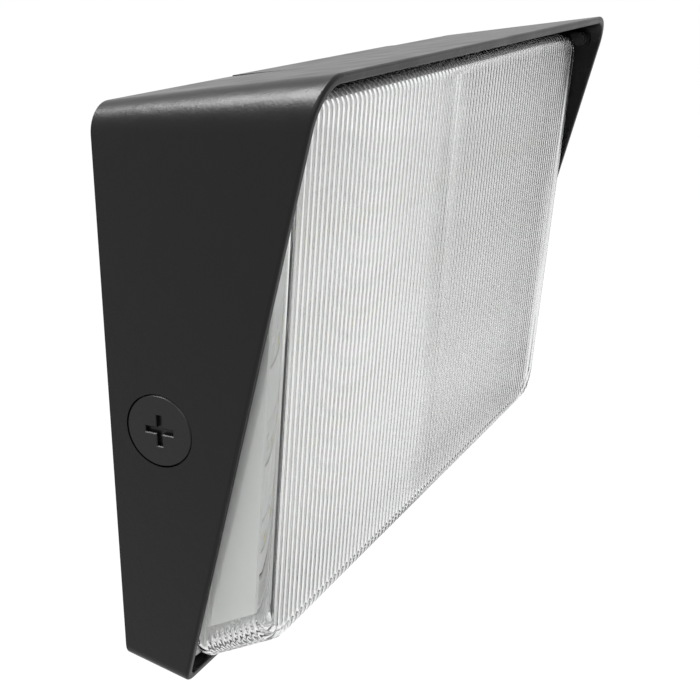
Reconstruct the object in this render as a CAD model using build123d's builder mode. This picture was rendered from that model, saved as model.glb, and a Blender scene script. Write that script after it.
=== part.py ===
from build123d import *
import math
import os

# Wall pack light: a die-cast shell with a visor and side cheeks, and a clear prismatic
# lens in a door that swings up and out from under the visor.
#
# Frame: +Z up, +Y into the wall, -Y out to the front. The wall plane is y = 0 and the
# origin is the centre of the wire entry in the back wall. All sizes are in millimetres.

os.makedirs("parts", exist_ok=True)

# ---------------------------------------------------------------- driving sizes

# Shell
width = 292.0                   # over the side cheeks
rear_height = 190.0             # top to bottom at the wall
visor_depth = 78.0              # wall to the visor's upper front edge
bottom_depth = 24.0             # wall to the bottom's front edge
top_flare = 8.4                 # the top rises towards the front, degrees
bottom_flare = 10.0             # the bottom falls towards the front, degrees
skin = 3.0                      # top, bottom and cheek wall
back_wall = 3.2
top_corner = 14.0               # outer radius between the top and the cheeks, at the front
top_corner_rear = 9.3           # the same at the wall
bottom_corner = 5.0             # outer radius between the bottom and the cheeks
rim_round_outside = 1.0         # softened front edge of the shell
rim_round_inside = 0.7
cut_margin = 10.0               # how far cutting blocks run past the shell
rear_pad_width = 130.0          # low pad on the rear of the top
rear_pad_depth = 22.6
rear_pad_height = 0.3           # at the wall, running out to nothing at its front

# Door plane: the lens rim stands on it
door_depth = 38.0               # wall to the door plane, level with the origin
door_tilt = 9.5                 # degrees, leaning out at the top
ledge_thickness = 3.0
ledge_width = 6.5               # from the cheek's inner face to the opening
ledge_top_gap = 4.7             # from the lens rim's top down to the opening
ledge_bottom_gap = 11.0         # from the lens rim's bottom up to the opening
opening_corner = 11.0

# Lens
lens_wall = 2.8
lens_cheek_gap = 2.0            # lens rim to the cheek's inner face
lens_roof_gap = 1.66            # lens rim to the ceiling, along the door plane
lens_floor_gap = 0.66
lens_step = 4.0                 # depth of the upright stretch behind the slope
lens_step_rise = 1.1            # how far the top rises over the step
lens_step_lift = 0.2            # how far the bottom rises over the step
lens_step_draft = 0.2
lens_reach = 19.9               # door plane to the front face, level with the origin
lens_front_tilt = 4.6           # degrees
lens_slope_rise = 13.3          # how far the bottom rises from the rim to the front
lens_front_draft = 2.3          # how much narrower the front is on each side
lens_corner = 15.0              # corner radius seen from the front
lens_edge = 5.5                 # rounding around the front face

# Door frame, its bead and its gasket
frame_plate = 1.7
frame_lip = 1.2
frame_lip_height = 4.3
lip_gap = 0.5                   # lip to the inside of the lens
frame_edge_gap = 0.9            # frame plate to the cheek's inner face
frame_bottom_width = 10.5       # the plate is widest along the bottom
side_wall_thickness = 1.2       # white walls inside the lens's sides
side_wall_gap = 0.4             # to the inside of the lens's sides
side_wall_front_gap = 3.0       # to the inside of the lens's front
side_wall_end_gap = 9.5         # to the inside of its top and bottom
bead_thickness = 0.7
gasket_width = 3.0
gasket_thickness = 2.2
gasket_gap = 0.4                # relaxed gap between gasket and frame
gasket_inset = 0.7              # from the opening's edge
glue_gap = 0.05

# Door hinge, high in the front corners
pivot_inset = 11.5              # behind the visor's front edge
pivot_drop = 4.3                # below the lens rim's top
hinge_pin_radius = 1.5
hinge_pin_fit = 0.05
hinge_press_gap = 0.02
hinge_boss_radius = 4.0
hinge_boss_height = 2.6         # from the cheek's inner face
hinge_hole_gap = 0.2            # bottom of the pin's hole to the cheek's inner face
hinge_arm_thickness = 1.6
hinge_arm_radius = 3.0
hinge_arm_low = 5.6             # below the lens rim's top, where the arm meets the frame
hinge_arm_high = 3.2
hinge_side_gap = 0.4
hinge_head_radius = 2.4
hinge_head_thickness = 0.8
hinge_head_gap = 0.2

# Door screws, in slots that are open at the bottom's front edge
door_screw_side = 76.0          # in from the cheeks' outer faces
door_screw_setback = 21.0       # behind the door plane at the origin's level
door_screw_radius = 2.0
door_screw_length = 11.0
door_screw_head_radius = 3.5
door_screw_head_height = 2.6
door_screw_slot = 5.0
door_screw_pad_width = 14.0
door_screw_pad_drop = 0.25      # pad face below the bottom's front edge
door_screw_head_gap = 0.3
door_boss_radius = 3.6
door_boss_length = 3.8
door_boss_floor_gap = 3.0       # boss to the bottom's inner face
pad_rear_reach = 6.5            # behind the door screws' centres
pad_front_gap = 0.8             # behind the bottom's front edge
pocket_gap = 1.4                # around the door frame's screw bosses
pocket_ceiling_gap = 0.4        # below the gasket
pocket_depth = 6.0              # behind the ledge's face
pocket_wall = 1.6
pocket_block_height = 12.0      # runs down into the floor
thread_gap = 0.02
socket_width = 2.5              # hexagon socket, across flats
socket_depth = 1.5

# Conduit entries, one in each cheek
conduit_depth = 18.9            # wall to the plug's centre
conduit_height = -6.5
plug_head_radius = 12.0
plug_head_thickness = 1.8
plug_thread_radius = 10.65      # half-inch conduit thread
plug_length = 10.0
plug_head_gap = 0.4
plug_chamfer = 0.3              # on the head and around its cross recess
plug_thread_gap = 0.08
plug_bore_radius = 7.0
plug_floor = 3.6
plug_slot_length = 10.4
plug_slot_width = 2.0
plug_slot_depth = 1.6
conduit_boss_radius = 13.7
conduit_boss_length = 9.0       # inwards from the cheek's outer face
plug_ring_thickness = 0.5
plug_ring_gap = 0.05
plug_ring_inset = 0.2

# Back wall: wire entry, box screws, wall screws and foam gasket
wire_entry_radius = 11.1
box_screw_spacing = 88.9
box_screw_radius = 2.4
wall_screw_side = 46.0          # in from the cheeks' outer faces
wall_screw_edge = 30.0          # in from the top and the bottom at the wall
wall_screw_radius = 2.8
foam_width = 6.0
foam_depth = 1.6
foam_inset = 7.0
foam_corner = 8.0

# Light engine: tray on four posts, four boards, reflector
post_side = 28.0                # in from the cheeks' outer faces
post_radius = 5.0
post_gap = 0.05
screw_radius = 1.5
screw_length = 8.0
screw_head_radius = 2.8
screw_head_height = 2.0
screw_recess_length = 3.2
screw_recess_width = 0.8
screw_recess_depth = 1.2
screw_clearance = 0.2
screw_hole_depth = 9.0
tray_thickness = 2.0
tray_setback = 4.8              # tray's face behind the door plane
tray_edge_gap = 2.0
row_pitch = 40.0
row_low_gap = 15.5              # lowest row above the opening's lower edge
board_side_gap = 9.5            # board's end to the tray's side
board_width = 14.0
board_thickness = 1.2
board_gap = 0.05
led_pitch = 20.0
led_end_gap = 5.0               # board kept free at each end
led_size = 3.5
led_height = 0.8
led_gap = 0.02
reflector_sheet = 0.8
reflector_flat = 14.0
reflector_ridge = 4.6
reflector_screen_gap = 0.5      # board to the reflector's flats
reflector_edge_gap = 1.2
reflector_side_gap = 0.5        # to the door frame's side walls
window_width = 9.0
spacer_side = 17.0              # in from the cheeks' outer faces
spacer_radius = 1.6
spacer_hole_gap = 0.1
spacer_shoulder_radius = 2.6
spacer_head_radius = 3.0
spacer_head = 0.9
sheet_gap = 0.05
screw_seat_gap = 0.02

# Driver, terminal block, ground screw and leads
driver_length = 130.0
driver_height = 54.0
driver_tray_gap = 1.15          # front of the driver to the tray
driver_centre_z = 47.0
driver_sheet = 1.2
driver_flange = 12.0
driver_corner = 2.0
standoff_height = 5.0           # bosses under the driver and the terminal block
standoff_radius = 4.0
standoff_hole_depth = 7.0
driver_screw_inset = 5.0
part_gap = 0.1
terminal_length = 46.0
terminal_height = 16.0
terminal_thickness = 15.0
terminal_z = -44.0
terminal_poles = 3
terminal_lug = 8.0
terminal_lug_thickness = 2.0
terminal_lug_height = 9.0
pole_screw_radius = 2.5
pole_screw_sink = 1.0
pole_screw_length = 5.0
pole_slot = 0.8
ground_x = 62.0
ground_z = -44.0
ground_boss_radius = 4.5
ground_boss_height = 4.0
ground_screw_radius = 2.0
ground_screw_length = 6.0
ground_head_radius = 3.8
ground_head_height = 2.6
ground_hole_depth = 6.0
ring_terminal_radius = 4.0
ring_terminal_thickness = 0.8
ring_terminal_tab = 9.0
crimp_radius = 1.7
crimp_length = 5.0
lead_radius = 1.0
lead_depth = 13.0               # of the mains leads, from the wall
lead_hole_gap = 0.2
lead_grip = 3.0                 # length held in the terminal block
lead_spread = 22.0              # at the driver
lead_bend = 4.5
lead_straight = 13.5            # at each end of the mains leads
output_reach = 9.0              # of the output leads beside the driver
connector_lead_in = 3.0
connector_hole_lift = 2.0       # of the output leads' holes in the connector
lead_loop_z = -64.0
output_depth = 27.0             # of the driver's output leads, from the wall
output_pitch = 5.0
connector_side = 54.0           # in from the cheek's outer face
connector_length = 14.0
connector_width = 9.0
connector_height = 8.0
connector_gap = 0.5             # in the tray's window
link_side = 36.0                # in from the cheek's outer face
link_width = 6.0
link_thickness = 0.3
link_overlap = 2.0

# ---------------------------------------------------------------- derived sizes

half_width = width / 2
half_height = rear_height / 2
cheek_face = half_width - skin
top_rise = math.tan(math.radians(top_flare))
bottom_fall = math.tan(math.radians(bottom_flare))
visor_height = half_height + visor_depth * top_rise
bottom_height = -half_height - bottom_depth * bottom_fall
roof_start = half_height - skin / math.cos(math.radians(top_flare))
floor_start = -half_height + skin / math.cos(math.radians(bottom_flare))
cut_depth = visor_depth + cut_margin

rim_lean = math.atan2(visor_depth - bottom_depth, visor_height - bottom_height)
rim_plane = Plane(
    origin=(0, -visor_depth, visor_height),
    x_dir=(1, 0, 0),
    z_dir=(0, -math.cos(rim_lean), -math.sin(rim_lean)),
)
lean = math.radians(door_tilt)
lean_sin = math.sin(lean)
lean_cos = math.cos(lean)
door_plane = Plane(
    origin=(0, -door_depth, 0),
    x_dir=(1, 0, 0),
    z_dir=(0, -lean_cos, -lean_sin),
)
section_plane = Plane(
    origin=(0, -door_depth, 0),
    x_dir=(0, -lean_sin, lean_cos),
    z_dir=(1, 0, 0),
)
front_lean = math.radians(lens_front_tilt)
front_plane = Plane(
    origin=(0, -door_depth - lens_reach, 0),
    x_dir=(1, 0, 0),
    z_dir=(0, -math.cos(front_lean), -math.sin(front_lean)),
)


def roof_along(forward):
    """Height of the shell's ceiling along the door plane moved forward by this much."""
    reach = door_depth + forward * lean_cos
    return (roof_start + top_rise * reach + forward * lean_sin) / (lean_cos - top_rise * lean_sin)


def floor_along(forward):
    """Height of the shell's floor along the door plane moved forward by this much."""
    reach = door_depth + forward * lean_cos
    return (floor_start - bottom_fall * reach + forward * lean_sin) / (lean_cos + bottom_fall * lean_sin)


def floor_at(depth):
    """Height of the shell's floor at this depth from the wall."""
    return floor_start - bottom_fall * depth


def underside_at(depth):
    """Height of the shell's underside at this depth from the wall."""
    return -half_height - bottom_fall * depth


def door_point(along, forward):
    """(y, z) of a point given along the door plane and forward of it."""
    return (
        -door_depth - along * lean_sin - forward * lean_cos,
        along * lean_cos - forward * lean_sin,
    )


def depth_on(height, forward):
    """Depth of the door plane, moved forward by this much, at this height."""
    along = (height + forward * lean_sin) / lean_cos
    return -door_point(along, forward)[0]


def front_point(along, inset):
    """(y, z) of a point given along the lens's front plane and behind it."""
    return (
        -door_depth - lens_reach - along * math.sin(front_lean) + inset * math.cos(front_lean),
        along * math.cos(front_lean) + inset * math.sin(front_lean),
    )


# Layers behind the door plane, front to back
bead_back = -glue_gap - bead_thickness
frame_face = bead_back - glue_gap
frame_back = frame_face - frame_plate
gasket_face = frame_back - gasket_gap
gasket_back = gasket_face - gasket_thickness
ledge_face = gasket_back - glue_gap

lens_half = cheek_face - lens_cheek_gap
lens_rim_top = roof_along(0) - lens_roof_gap
lens_rim_bottom = floor_along(0) + lens_floor_gap
lens_step_top = lens_rim_top + lens_step_rise
lens_step_bottom = lens_rim_bottom + lens_step_lift
lens_front_bottom = lens_rim_bottom + lens_slope_rise
frame_half = cheek_face - frame_edge_gap
frame_top = roof_along(frame_back) - frame_edge_gap
frame_bottom = floor_along(frame_back) + frame_edge_gap
frame_corner = top_corner - skin - frame_edge_gap
lip_inset = lens_wall + lip_gap
side_wall_face = lens_half - lens_front_draft - lens_wall - side_wall_gap
side_wall_inner = side_wall_face - side_wall_thickness
lip_corner = lens_corner - lip_inset
lip_inner_corner = lip_corner - frame_lip

opening_half = cheek_face - ledge_width
opening_top = lens_rim_top - ledge_top_gap
opening_bottom = lens_rim_bottom + ledge_bottom_gap
gasket_inner_half = opening_half + gasket_inset
gasket_inner_top = opening_top + gasket_inset
gasket_inner_bottom = opening_bottom - gasket_inset

door_screw_x = half_width - door_screw_side
door_screw_depth = door_depth - door_screw_setback
pad_rear = door_screw_depth - pad_rear_reach
pad_front = bottom_depth - pad_front_gap
pad_height = bottom_height - door_screw_pad_drop
door_boss_low = floor_at(door_screw_depth) + door_boss_floor_gap
door_boss_high = door_boss_low + door_boss_length
pocket_top = gasket_inner_bottom - gasket_width - pocket_ceiling_gap
pocket_half = door_boss_radius + pocket_gap

pivot_depth = visor_depth - pivot_inset
pivot_height = lens_rim_top - pivot_drop
hinge_boss_face = cheek_face - hinge_boss_height
hinge_blind_end = cheek_face - hinge_hole_gap
arm_face = hinge_boss_face - hinge_side_gap
arm_inner_face = arm_face - hinge_arm_thickness
hinge_head_face = arm_inner_face - hinge_head_gap

tray_face = -tray_setback
tray_back = tray_face - tray_thickness
tray_half = opening_half - tray_edge_gap
tray_top = opening_top - tray_edge_gap
tray_bottom = opening_bottom + tray_edge_gap
row_first = opening_bottom + row_low_gap
row_count = int((opening_top - row_first) // row_pitch)
rows = [row_first + row_pitch * i for i in range(row_count)]
row_middle = (rows[0] + rows[-1]) / 2
post_x = half_width - post_side
post_end = tray_back - post_gap
post_places = [
    (side * post_x, row + row_pitch / 2)
    for side in (-1, 1)
    for row in (rows[0], rows[-1])
]
board_face = tray_face + board_gap + board_thickness
board_length = 2 * (tray_half - board_side_gap)
led_count = int((board_length - 2 * led_end_gap) // led_pitch)
connector_x = half_width - connector_side
link_x = half_width - link_side
flat_back = board_face + reflector_screen_gap
flat_face = flat_back + reflector_sheet
reflector_half = side_wall_inner - reflector_side_gap
reflector_top = opening_top - reflector_edge_gap
reflector_bottom = opening_bottom + reflector_edge_gap
spacer_x = half_width - spacer_side
spacer_places = [(side * spacer_x, row) for side in (-1, 1) for row in rows]

driver_low = driver_centre_z - driver_height / 2
standoff_end = back_wall + standoff_height
driver_base_back = standoff_end + part_gap
driver_base_face = driver_base_back + driver_sheet
driver_case_back = driver_base_face + part_gap
driver_case_face = depth_on(driver_low, tray_back) - driver_tray_gap
driver_screw_x = driver_length / 2 + driver_flange - driver_screw_inset
terminal_back = back_wall + part_gap
terminal_face = terminal_back + terminal_thickness
terminal_top = terminal_z + terminal_height / 2
terminal_bottom = terminal_z - terminal_height / 2
terminal_pitch = terminal_length / terminal_poles
terminal_screw_x = terminal_length / 2 + terminal_lug / 2
standoff_places = [
    (-driver_screw_x, driver_centre_z),
    (driver_screw_x, driver_centre_z),
    (-terminal_screw_x, terminal_z),
    (terminal_screw_x, terminal_z),
]
counterbore_radius = plug_head_radius + plug_head_gap
counterbore_depth = plug_head_thickness + plug_ring_thickness + 2 * plug_ring_gap


def place_on(plane, x, y):
    """The same plane with its origin at a point of it."""
    return Plane(origin=plane.from_local_coords(Vector(x, y, 0)), x_dir=plane.x_dir, z_dir=plane.z_dir)


def panel(half, low, high, radius, mode=Mode.ADD):
    """An upright rounded panel, centred across the width, in the open sketch."""
    with Locations((0, (low + high) / 2)):
        RectangleRounded(2 * half, high - low, radius, mode=mode)


def shell_block(inset, rear, front):
    """The shell's rounded outline, moved in by an inset, as a solid between two depths."""
    high = half_height - inset / math.cos(math.radians(top_flare))
    low = -half_height + inset / math.cos(math.radians(bottom_flare))
    with BuildPart() as block:
        for depth in (rear, front):
            outline_high = high + top_rise * depth
            outline_low = low - bottom_fall * depth
            corner = top_corner_rear + (top_corner - top_corner_rear) * depth / visor_depth
            with BuildSketch(Plane.XZ.offset(depth)) as outline:
                with Locations((0, (outline_low + outline_high) / 2)):
                    Rectangle(2 * (half_width - inset), outline_high - outline_low)
                fillet(outline.vertices().group_by(Axis.Y)[-1], corner - inset)
                fillet(outline.vertices().group_by(Axis.Y)[0], bottom_corner - inset)
        loft(ruled=True)
    return block.part


def machine_screw(seat):
    """A pan-head screw standing on a seat plane, its shank behind the plane."""
    with BuildPart() as screw:
        with BuildSketch(seat):
            Circle(screw_head_radius)
        extrude(amount=screw_head_height)
        with BuildSketch(seat):
            Circle(screw_radius)
        extrude(amount=-screw_length)
        with BuildSketch(seat.offset(screw_head_height)):
            Rectangle(screw_recess_length, screw_recess_width)
            Rectangle(screw_recess_width, screw_recess_length)
        extrude(amount=-screw_recess_depth, mode=Mode.SUBTRACT)
    return screw.part


def lead(points):
    """A round lead along a path with rounded bends."""
    with BuildPart() as wire:
        with BuildLine():
            path = FilletPolyline(*points, radius=lead_bend)
        with BuildSketch(Plane(origin=path @ 0, z_dir=path % 0)):
            Circle(lead_radius)
        sweep()
    return wire.part


def lens_solid(inset):
    """The lens's outline, moved in by an inset, from the door plane to the front."""
    corner = lens_corner - inset
    with BuildPart() as solid:
        with BuildSketch(door_plane):
            panel(lens_half - inset, lens_rim_bottom + inset, lens_rim_top - inset, corner)
        with BuildSketch(door_plane.offset(lens_step)):
            panel(
                lens_half - lens_step_draft - inset,
                lens_step_bottom + inset,
                lens_step_top - inset,
                corner,
            )
        with BuildSketch(front_plane.offset(-inset)):
            panel(
                lens_half - lens_front_draft - inset,
                lens_front_bottom + inset,
                lens_step_top - inset,
                corner,
            )
        loft(ruled=True)
    return solid.part


# ---------------------------------------------------------------- shell

outer_block = shell_block(0, 0, cut_depth)
middle_block = shell_block(skin / 2, back_wall / 2, cut_depth)
cavity_block = shell_block(skin, back_wall, cut_depth + cut_margin)

with BuildPart() as features:
    with BuildSketch(door_plane.offset(ledge_face)):
        Rectangle(width, 2 * rear_height)
        panel(opening_half, opening_bottom, opening_top, opening_corner, mode=Mode.SUBTRACT)
    extrude(amount=-ledge_thickness)
    for side in (-1, 1):
        with BuildSketch(Plane.YZ.offset(side * (half_width - conduit_boss_length))):
            with Locations((-conduit_depth, conduit_height)):
                Circle(conduit_boss_radius)
        extrude(amount=side * conduit_boss_length)
    with BuildSketch(door_plane.offset(ledge_face)):
        Rectangle(width, 2 * rear_height)
    extrude(amount=conduit_boss_radius, mode=Mode.SUBTRACT)
    for side in (-1, 1):
        with BuildSketch(Plane.YZ.offset(side * hinge_boss_face)):
            with Locations((-pivot_depth, pivot_height)):
                Circle(hinge_boss_radius)
        extrude(amount=side * (half_width - hinge_boss_face))
    for side in (-1, 1):
        with BuildSketch(door_plane.offset(ledge_face)):
            with Locations((side * door_screw_x, pocket_top + pocket_wall)):
                Rectangle(
                    2 * (pocket_half + pocket_wall),
                    pocket_block_height,
                    align=(Align.CENTER, Align.MAX),
                )
        extrude(amount=-(pocket_depth + pocket_wall))
    with BuildSketch(door_plane.offset(post_end)):
        with Locations(*post_places):
            Circle(post_radius)
    extrude(amount=-door_depth - visor_depth)
    with BuildSketch(Plane.XZ.offset(back_wall / 2)):
        with Locations((ground_x, ground_z)):
            Circle(ground_boss_radius)
    extrude(amount=back_wall / 2 + ground_boss_height)
    with BuildSketch(Plane.XZ.offset(back_wall / 2)):
        with Locations(*standoff_places):
            Circle(standoff_radius)
    extrude(amount=back_wall / 2 + standoff_height)
    add(middle_block, mode=Mode.INTERSECT)

with BuildPart() as pockets:
    for side in (-1, 1):
        with BuildSketch(door_plane.offset(ledge_face + ledge_thickness)):
            with Locations((side * door_screw_x, pocket_top)):
                Rectangle(2 * pocket_half, pocket_block_height, align=(Align.CENTER, Align.MAX))
        extrude(amount=-(ledge_thickness + pocket_depth))
    add(cavity_block, mode=Mode.INTERSECT)

with BuildPart() as housing:
    add(outer_block)
    add(cavity_block, mode=Mode.SUBTRACT)
    with BuildSketch(rim_plane):
        Rectangle(2 * width, 3 * rear_height)
    extrude(amount=visor_depth, mode=Mode.SUBTRACT)
    rim = housing.faces().filter_by(rim_plane)[0]
    fillet(rim.outer_wire().edges(), rim_round_outside)
    rim = housing.faces().filter_by(rim_plane)[0]
    fillet(rim.inner_wires()[0].edges(), rim_round_inside)

    # Low pad on the rear of the top, and the two pads under the door screws' heads
    with BuildSketch(Plane.YZ):
        Polygon(
            (0, half_height - skin / 2),
            (0, half_height + rear_pad_height),
            (-rear_pad_depth, half_height + rear_pad_depth * top_rise),
            (-rear_pad_depth, half_height + rear_pad_depth * top_rise - skin / 2),
            align=None,
        )
    extrude(amount=rear_pad_width / 2, both=True)
    for side in (-1, 1):
        with BuildSketch(Plane.YZ.offset(side * door_screw_x)):
            Polygon(
                (-pad_rear, underside_at(pad_rear) + skin / 2),
                (-pad_front, underside_at(pad_front) + skin / 2),
                (-pad_front, pad_height),
                (-pad_rear, pad_height),
                align=None,
            )
        extrude(amount=door_screw_pad_width / 2, both=True)

    add(features.part)
    add(pockets.part, mode=Mode.SUBTRACT)

    # Slots for the door screws, open at the bottom's front edge
    slot_top = floor_at(door_screw_depth - door_screw_slot)
    with BuildSketch(Plane.XY.offset(slot_top)):
        for side in (-1, 1):
            with Locations((side * door_screw_x, -door_screw_depth)):
                Circle(door_screw_slot / 2)
                Rectangle(door_screw_slot, visor_depth, align=(Align.CENTER, Align.MAX))
    extrude(amount=pad_height - cut_margin - slot_top, mode=Mode.SUBTRACT)

    # Conduit entries
    for side in (-1, 1):
        with BuildSketch(Plane.YZ.offset(side * half_width)):
            with Locations((-conduit_depth, conduit_height)):
                Circle(counterbore_radius)
        extrude(amount=-side * counterbore_depth, mode=Mode.SUBTRACT)
        with BuildSketch(Plane.YZ.offset(side * half_width)):
            with Locations((-conduit_depth, conduit_height)):
                Circle(plug_thread_radius + plug_thread_gap)
        extrude(amount=-side * (conduit_boss_length + cut_margin), mode=Mode.SUBTRACT)

    # Blind holes for the hinge pins
    for side in (-1, 1):
        with BuildSketch(Plane.YZ.offset(side * hinge_blind_end)):
            with Locations((-pivot_depth, pivot_height)):
                Circle(hinge_pin_radius + hinge_press_gap)
        extrude(amount=-side * hinge_boss_radius, mode=Mode.SUBTRACT)

    # Back wall: foam groove, wire entry, box screws and wall screws
    with BuildSketch(Plane.XZ):
        panel(
            half_width - foam_inset,
            -half_height + foam_inset,
            half_height - foam_inset,
            foam_corner,
        )
        panel(
            half_width - foam_inset - foam_width,
            -half_height + foam_inset + foam_width,
            half_height - foam_inset - foam_width,
            foam_corner - foam_width,
            mode=Mode.SUBTRACT,
        )
    extrude(amount=foam_depth, mode=Mode.SUBTRACT)
    with BuildSketch(Plane.XZ):
        Circle(wire_entry_radius)
        with GridLocations(box_screw_spacing, 1, 2, 1):
            Circle(box_screw_radius)
        with GridLocations(width - 2 * wall_screw_side, rear_height - 2 * wall_screw_edge, 2, 2):
            Circle(wall_screw_radius)
    extrude(amount=back_wall, mode=Mode.SUBTRACT)

    # Threaded holes in the posts, the standoffs and the ground boss
    with BuildSketch(door_plane.offset(post_end)):
        with Locations(*post_places):
            Circle(screw_radius + thread_gap)
    extrude(amount=-screw_hole_depth, mode=Mode.SUBTRACT)
    with BuildSketch(Plane.XZ.offset(standoff_end)):
        with Locations(*standoff_places):
            Circle(screw_radius + thread_gap)
    extrude(amount=-standoff_hole_depth, mode=Mode.SUBTRACT)
    with BuildSketch(Plane.XZ.offset(back_wall + ground_boss_height)):
        with Locations((ground_x, ground_z)):
            Circle(ground_screw_radius + thread_gap)
    extrude(amount=-ground_hole_depth, mode=Mode.SUBTRACT)
housing.part.label = "housing"
export_step(housing.part, "parts/housing.step")

# ---------------------------------------------------------------- door

with BuildPart() as lens:
    add(lens_solid(0))
    fillet(lens.faces().filter_by(front_plane)[0].edges(), lens_edge)
    add(lens_solid(lens_wall), mode=Mode.SUBTRACT)
lens.part.label = "lens"
export_step(lens.part, "parts/lens.step")

with BuildPart() as lens_bead:
    with BuildSketch(door_plane.offset(bead_back)):
        panel(lens_half, lens_rim_bottom, lens_rim_top, lens_corner)
        panel(
            lens_half - lens_wall,
            lens_rim_bottom + lens_wall,
            lens_rim_top - lens_wall,
            lens_corner - lens_wall,
            mode=Mode.SUBTRACT,
        )
    extrude(amount=bead_thickness)
lens_bead.part.label = "lens_bead"
export_step(lens_bead.part, "parts/lens_bead.step")

with BuildPart() as door_frame:
    with BuildSketch(door_plane.offset(frame_face)):
        panel(frame_half, frame_bottom, frame_top, frame_corner)
        panel(
            side_wall_inner,
            frame_bottom + frame_bottom_width,
            lens_rim_top - lip_inset - frame_lip,
            lip_inner_corner,
            mode=Mode.SUBTRACT,
        )
    extrude(amount=-frame_plate)
    with BuildSketch(door_plane.offset(frame_face)):
        panel(
            lens_half - lip_inset,
            lens_rim_bottom + lip_inset,
            lens_rim_top - lip_inset,
            lip_corner,
        )
        panel(
            lens_half - lip_inset - frame_lip,
            lens_rim_bottom + lip_inset + frame_lip,
            lens_rim_top - lip_inset - frame_lip,
            lip_inner_corner,
            mode=Mode.SUBTRACT,
        )
    extrude(amount=frame_lip_height)

    # White walls inside the lens's sides
    wall_inset = lens_wall + side_wall_front_gap
    wall_ends = lens_wall + side_wall_end_gap
    for side in (-1, 1):
        with BuildSketch(Plane.YZ.offset(side * side_wall_face)):
            Polygon(
                door_point(lens_rim_bottom + wall_ends, frame_back),
                door_point(lens_rim_bottom + wall_ends, frame_face),
                front_point(lens_front_bottom + wall_ends, wall_inset),
                front_point(lens_step_top - wall_ends, wall_inset),
                door_point(lens_rim_top - wall_ends, frame_face),
                door_point(lens_rim_top - wall_ends, frame_back),
                align=None,
            )
        extrude(amount=-side * side_wall_thickness)

    # Bosses for the door screws, on the back of the bottom rail
    web_front = depth_on((door_boss_low + door_boss_high) / 2, (frame_face + frame_back) / 2)
    with BuildSketch(Plane.XY.offset(door_boss_low)):
        with Locations((-door_screw_x, -door_screw_depth), (door_screw_x, -door_screw_depth)):
            Circle(door_boss_radius)
            Rectangle(
                2 * door_boss_radius,
                web_front - door_screw_depth,
                align=(Align.CENTER, Align.MAX),
            )
            Circle(door_screw_radius + thread_gap, mode=Mode.SUBTRACT)
    extrude(amount=door_boss_length)
door_frame.part.label = "door_frame"
export_step(door_frame.part, "parts/door_frame.step")

with BuildPart() as hinge_arms:
    arm_foot = frame_face + sheet_gap
    for side in (-1, 1):
        with BuildSketch(Plane.YZ.offset(side * arm_face)):
            with Locations((-pivot_depth, pivot_height)):
                Circle(hinge_arm_radius)
            Polygon(
                (-pivot_depth, pivot_height - hinge_arm_radius),
                (-pivot_depth, pivot_height + hinge_arm_radius),
                door_point(lens_rim_top - hinge_arm_high, arm_foot),
                door_point(lens_rim_top - hinge_arm_low, arm_foot),
                align=None,
            )
            with Locations((-pivot_depth, pivot_height)):
                Circle(hinge_pin_radius + hinge_pin_fit, mode=Mode.SUBTRACT)
        extrude(amount=-side * hinge_arm_thickness)
hinge_arms.part.label = "hinge_arms"
export_step(hinge_arms.part, "parts/hinge_arms.step")

with BuildPart() as door_gasket:
    with BuildSketch(door_plane.offset(gasket_back)):
        panel(
            gasket_inner_half + gasket_width,
            gasket_inner_bottom - gasket_width,
            gasket_inner_top + gasket_width,
            opening_corner + gasket_width,
        )
        panel(
            gasket_inner_half,
            gasket_inner_bottom,
            gasket_inner_top,
            opening_corner,
            mode=Mode.SUBTRACT,
        )
    extrude(amount=gasket_thickness)
door_gasket.part.label = "door_gasket"
export_step(door_gasket.part, "parts/door_gasket.step")

with BuildPart() as hinge_pins:
    for side in (-1, 1):
        with BuildSketch(Plane.YZ.offset(side * (hinge_head_face - hinge_head_thickness))):
            with Locations((-pivot_depth, pivot_height)):
                Circle(hinge_head_radius)
        extrude(amount=side * hinge_head_thickness)
        with BuildSketch(Plane.YZ.offset(side * hinge_head_face)):
            with Locations((-pivot_depth, pivot_height)):
                Circle(hinge_pin_radius)
        extrude(amount=side * (hinge_blind_end - hinge_head_face - part_gap))
hinge_pins.part.label = "hinge_pins"
export_step(hinge_pins.part, "parts/hinge_pins.step")

with BuildPart() as door_screws:
    seat = pad_height - door_screw_head_gap
    places = [(-door_screw_x, -door_screw_depth), (door_screw_x, -door_screw_depth)]
    with BuildSketch(Plane.XY.offset(seat)):
        with Locations(*places):
            Circle(door_screw_head_radius)
    extrude(amount=-door_screw_head_height)
    with BuildSketch(Plane.XY.offset(seat)):
        with Locations(*places):
            Circle(door_screw_radius)
    extrude(amount=door_screw_length)
    with BuildSketch(Plane.XY.offset(seat - door_screw_head_height)):
        with Locations(*places):
            RegularPolygon(socket_width / 2, 6, major_radius=False)
    extrude(amount=socket_depth, mode=Mode.SUBTRACT)
door_screws.part.label = "door_screws"
export_step(door_screws.part, "parts/door_screws.step")

# ---------------------------------------------------------------- conduit plugs

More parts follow.
